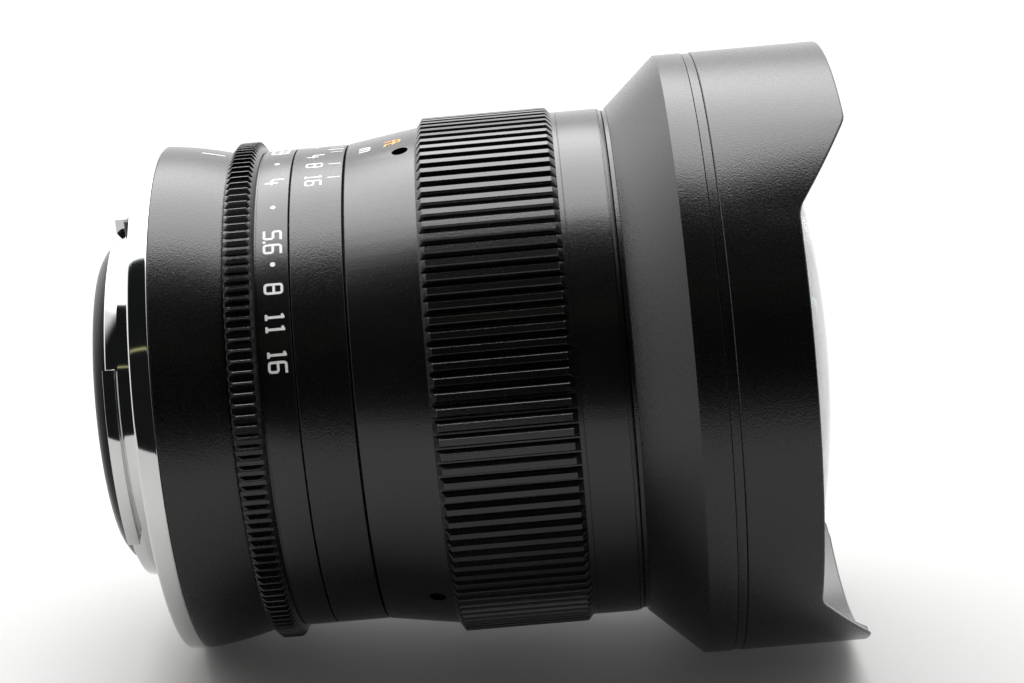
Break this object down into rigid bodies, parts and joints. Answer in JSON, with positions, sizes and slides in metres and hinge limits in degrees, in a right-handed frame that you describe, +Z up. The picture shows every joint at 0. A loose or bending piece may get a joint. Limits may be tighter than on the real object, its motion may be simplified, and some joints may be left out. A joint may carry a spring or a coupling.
{
  "type": "fisheye lens",
  "caption": "Wide fisheye camera lens with a bayonet mount, ribbed focus and aperture rings, a domed front glass and a built-in petal hood.",
  "frame": {"origin": "on the optical axis, in the contact face of the bayonet flange", "axes": "+X along the optical axis towards the front glass, +Z up through the index mark"},
  "size_m": [0.0887, 0.0736, 0.0736],
  "materials": {
    "bright_mount": "turned, bright",
    "screw_steel": "bright",
    "blade_steel": "blackened",
    "black_screw": "blackened",
    "black_body": "satin black",
    "black_trim": "matt black",
    "black_inner": "matt black",
    "black_plastic": "matt",
    "bare_alloy": "turned",
    "inner_brass": "turned",
    "front_glass": "coated",
    "coated_glass": "coated"
  },
  "bodies": {
    "fixed_barrel": {"bayonet_mount": "bright_mount", "mount_screws": "screw_steel", "bayonet_stop_pin": "screw_steel", "rear_baffle": "black_plastic", "rear_barrel": "black_body", "depth_scale_ring": "black_body", "guide_barrel": "bare_alloy", "guide_screws": "screw_steel", "focus_lock_ring": "black_inner", "focus_stop_screw": "screw_steel", "detent_ball": "screw_steel", "detent_spring": "screw_steel"},
    "aperture_control": {"aperture_ring": "black_body", "aperture_link": "screw_steel"},
    "focus_control": {"focus_ring": "black_body", "focus_cam_sleeve": "black_inner", "focus_grub_screws": "black_screw"},
    "optics_unit": {"front_housing": "black_body", "hood_seam_ring": "black_trim", "petal_hood": "black_body", "front_retaining_ring": "black_trim", "optics_barrel": "black_inner", "cam_followers": "inner_brass", "front_cell": "black_inner", "front_cell_ring": "black_trim", "front_cell_spacer": "black_trim", "middle_cell": "black_inner", "middle_cell_ring": "black_trim", "rear_cell": "black_inner", "rear_cell_screws": "screw_steel", "rear_cell_spacer_1": "black_trim", "rear_cell_spacer_2": "black_trim", "rear_cell_ring": "black_trim", "iris_housing": "black_inner", "iris_cover": "black_trim", "lens_element_1": "front_glass", "lens_element_2": "coated_glass", "lens_element_3": "coated_glass", "lens_element_4": "coated_glass", "lens_element_5": "coated_glass", "lens_element_6": "coated_glass", "lens_element_7": "coated_glass", "lens_element_8": "coated_glass", "lens_element_9": "coated_glass", "lens_element_10": "coated_glass", "lens_element_11": "coated_glass"},
    "iris_drive": {"iris_rotor": "inner_brass"},
    "blade_1": {"iris_blade_1": "blade_steel"},
    "blade_2": {"iris_blade_2": "blade_steel"},
    "blade_3": {"iris_blade_3": "blade_steel"},
    "blade_4": {"iris_blade_4": "blade_steel"},
    "blade_5": {"iris_blade_5": "blade_steel"},
    "blade_6": {"iris_blade_6": "blade_steel"},
    "blade_7": {"iris_blade_7": "blade_steel"}
  },
  "joints": [
    {"name": "focus_turn", "type": "hinge", "parent": "fixed_barrel", "child": "focus_control", "pos_m": [0.04, 0, 0], "axis": [1, 0, 0], "range_deg": [0, 90]},
    {"name": "optics_slide", "type": "slide", "parent": "fixed_barrel", "child": "optics_unit", "axis": [1, 0, 0], "range_m": [0, 0.00085]},
    {"name": "aperture_turn", "type": "hinge", "parent": "fixed_barrel", "child": "aperture_control", "pos_m": [0.0145, 0, 0], "axis": [-1, 0, 0], "range_deg": [0, 69]},
    {"name": "iris_rotor_turn", "type": "hinge", "parent": "optics_unit", "child": "iris_drive", "pos_m": [0.01535, 0, 0], "axis": [-1, 0, 0], "range_deg": [0, 69.1]},
    {"name": "iris_blade_1_turn", "type": "hinge", "parent": "optics_unit", "child": "blade_1", "pos_m": [0.0165, 0, 0.009], "axis": [-1, 0, 0], "range_deg": [0, 28.3]},
    {"name": "iris_blade_2_turn", "type": "hinge", "parent": "optics_unit", "child": "blade_2", "pos_m": [0.0165, -0.00704, 0.00561], "axis": [-1, 0, 0], "range_deg": [0, 28.3]},
    {"name": "iris_blade_3_turn", "type": "hinge", "parent": "optics_unit", "child": "blade_3", "pos_m": [0.0165, -0.00877, -0.002], "axis": [-1, 0, 0], "range_deg": [0, 28.3]},
    {"name": "iris_blade_4_turn", "type": "hinge", "parent": "optics_unit", "child": "blade_4", "pos_m": [0.0165, -0.00391, -0.00811], "axis": [-1, 0, 0], "range_deg": [0, 28.3]},
    {"name": "iris_blade_5_turn", "type": "hinge", "parent": "optics_unit", "child": "blade_5", "pos_m": [0.0165, 0.00391, -0.00811], "axis": [-1, 0, 0], "range_deg": [0, 28.3]},
    {"name": "iris_blade_6_turn", "type": "hinge", "parent": "optics_unit", "child": "blade_6", "pos_m": [0.0165, 0.00877, -0.002], "axis": [-1, 0, 0], "range_deg": [0, 28.3]},
    {"name": "iris_blade_7_turn", "type": "hinge", "parent": "optics_unit", "child": "blade_7", "pos_m": [0.0165, 0.00704, 0.00561], "axis": [-1, 0, 0], "range_deg": [0, 28.3]}
  ],
  "couplings": [
    {"joint": "optics_slide", "follows": "focus_turn", "m_per_rad": 0.0005093},
    {"joint": "iris_rotor_turn", "follows": "aperture_turn", "ratio": 1}
  ]
}
